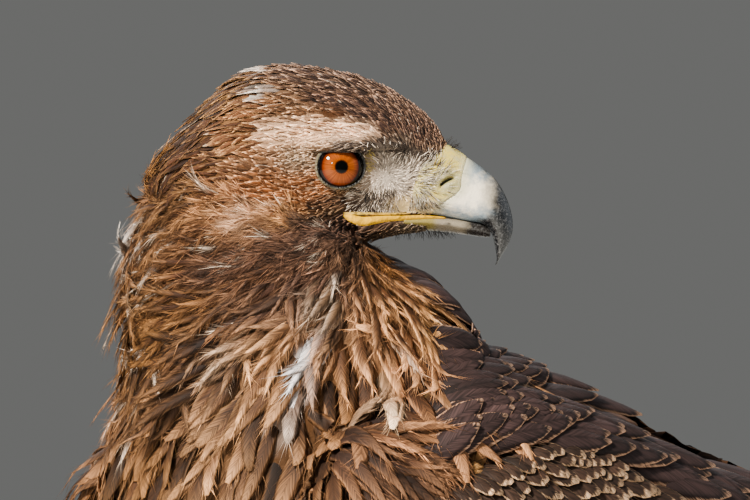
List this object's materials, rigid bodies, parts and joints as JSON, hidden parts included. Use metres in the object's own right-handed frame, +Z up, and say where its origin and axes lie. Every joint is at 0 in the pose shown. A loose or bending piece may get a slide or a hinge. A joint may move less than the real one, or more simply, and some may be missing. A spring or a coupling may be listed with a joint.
{
  "type": "golden eagle",
  "caption": "Life-size golden eagle standing with folded wings and its head turned back over its left shoulder, in a still pose.",
  "frame": {"origin": "on the ground, under the middle of the bird's bounding box", "axes": "the bird's body faces -Y, its left side is +X, and +Z is up"},
  "size_m": [0.253, 0.6348, 0.583],
  "materials": {
    "crown_feathers": "matt feathers",
    "nape_feathers": "matt feathers",
    "body_feathers": "matt feathers",
    "flight_feathers": "satin feathers",
    "leg_feathers": "soft feathers",
    "cere_skin": "bare waxy skin",
    "gape_skin": "bare soft skin",
    "bill_horn": "polished horn",
    "claw_horn": "polished horn",
    "eye": "wet gloss",
    "toe_skin": "scaly skin"
  },
  "bodies": {
    "root": {"bill_lower": "bill_horn", "bill_upper": "bill_horn", "cere": "cere_skin", "claw_left_1": "claw_horn", "claw_left_2": "claw_horn", "claw_left_3": "claw_horn", "claw_left_4": "claw_horn", "claw_right_1": "claw_horn", "claw_right_2": "claw_horn", "claw_right_3": "claw_horn", "claw_right_4": "claw_horn", "eye_left": "eye", "eye_right": "eye", "gape_left": "gape_skin", "gape_right": "gape_skin", "head": "crown_feathers", "neck": "nape_feathers", "shank_left": "leg_feathers", "shank_right": "leg_feathers", "tail": "flight_feathers", "thigh_left": "leg_feathers", "thigh_right": "leg_feathers", "toe_left_1": "toe_skin", "toe_left_2": "toe_skin", "toe_left_3": "toe_skin", "toe_left_4": "toe_skin", "toe_right_1": "toe_skin", "toe_right_2": "toe_skin", "toe_right_3": "toe_skin", "toe_right_4": "toe_skin", "torso": "body_feathers", "wing_left": "flight_feathers", "wing_right": "flight_feathers"}
  },
  "joints": []
}
